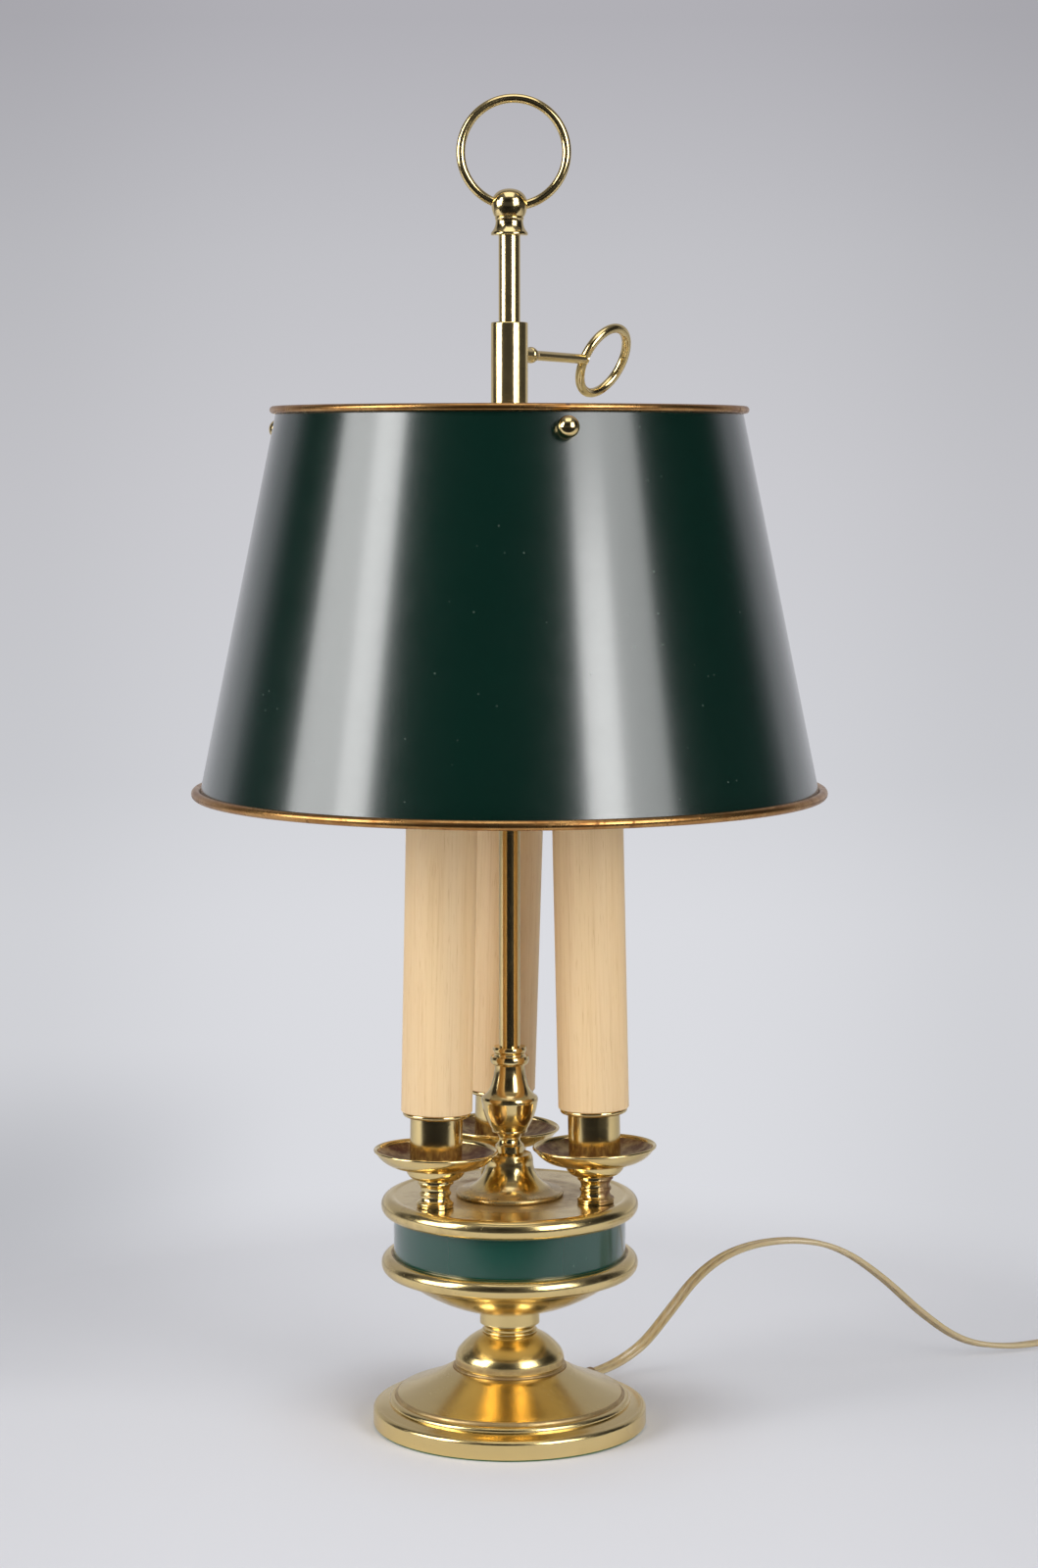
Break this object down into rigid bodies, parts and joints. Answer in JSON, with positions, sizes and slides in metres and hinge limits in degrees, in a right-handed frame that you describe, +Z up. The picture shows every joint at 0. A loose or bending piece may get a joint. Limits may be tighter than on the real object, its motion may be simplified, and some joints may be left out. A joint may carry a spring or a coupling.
{
  "type": "table lamp",
  "caption": "Bouillotte table lamp: brass drum base with candle arms under a painted cone shade that slides on a rod and clamps with a ring key",
  "frame": {"origin": "middle of the felt underside, on the surface that the lamp stands on", "axes": "+Z up along the rod, -Y towards the viewer of the picture, +X to the viewer's right"},
  "size_m": [0.5469, 0.2888, 0.594],
  "materials": {
    "polished_brass": "polished brass with light tarnish",
    "felt": "short green felt",
    "iron": "plain black casting",
    "zinc": "bright zinc plate",
    "green_band": "gloss green enamel",
    "green_shade": "semi-gloss dark green enamel, pale inside",
    "candle_cream": "cream candle sleeve with fine upright grain",
    "socket_black": "moulded black",
    "bulb_cap": "bright screw cap",
    "frosted_glass": "frosted white",
    "gold_cord": "clear gold vinyl",
    "gold_moulding": "moulded gold brown"
  },
  "bodies": {
    "lamp": {"felt_pad": "felt", "base_weight": "iron", "foot": "polished_brass", "foot_knob": "polished_brass", "neck_ring": "polished_brass", "drum_tray": "polished_brass", "drum_plate": "polished_brass", "bell_foot": "polished_brass", "baluster": "polished_brass", "centre_rod": "polished_brass", "finial_ball": "polished_brass", "finial_ring": "polished_brass", "plug_blades": "polished_brass", "threaded_pipe": "zinc", "pipe_nut_and_washer": "zinc", "arm_nipples": "zinc", "arm_nuts": "zinc", "drum_band": "green_band", "left_stem": "polished_brass", "left_drip_pan": "polished_brass", "left_candle_cup": "polished_brass", "left_candle_sleeve": "candle_cream", "left_lamp_socket": "socket_black", "left_bulb_base": "bulb_cap", "left_bulb_glass": "frosted_glass", "right_stem": "polished_brass", "right_drip_pan": "polished_brass", "right_candle_cup": "polished_brass", "right_candle_sleeve": "candle_cream", "right_lamp_socket": "socket_black", "right_bulb_base": "bulb_cap", "right_bulb_glass": "frosted_glass", "rear_stem": "polished_brass", "rear_drip_pan": "polished_brass", "rear_candle_cup": "polished_brass", "rear_candle_sleeve": "candle_cream", "rear_lamp_socket": "socket_black", "rear_bulb_base": "bulb_cap", "rear_bulb_glass": "frosted_glass", "cord_run": "gold_cord", "cord_coil": "gold_cord", "inner_cord": "gold_cord", "cord_bushing": "gold_moulding", "switch_upper": "gold_moulding", "switch_lower": "gold_moulding", "plug_body": "gold_moulding", "coil_tie": "gold_moulding"},
    "shade_carriage": {"guide_bushes": "polished_brass"},
    "shade_head": {"collar": "polished_brass", "key_boss": "polished_brass", "shade": "green_shade", "shade_top_rim": "polished_brass", "shade_bottom_rim": "polished_brass", "spider": "polished_brass", "shade_ball_nuts": "polished_brass"},
    "key": {"shade_key": "polished_brass"},
    "wheel": {"switch_wheel": "gold_moulding"}
  },
  "joints": [
    {"name": "shade_height", "type": "slide", "parent": "lamp", "child": "shade_carriage", "axis": [0, 0, 1], "range_m": [-0.07, 0.036]},
    {"name": "shade_swivel", "type": "hinge", "parent": "shade_carriage", "child": "shade_head", "pos_m": [0, 0, 0.466], "axis": [0, 0, 1], "continuous": true},
    {"name": "key_turn", "type": "hinge", "parent": "shade_head", "child": "key", "pos_m": [0.00951, 0.01409, 0.4812], "axis": [0.5591, 0.8289, -0.0175], "range_deg": [0, 360]},
    {"name": "switch_turn", "type": "hinge", "parent": "lamp", "child": "wheel", "pos_m": [0.342, 0.1321, 0.008], "axis": [0, 0, 1], "continuous": true}
  ]
}
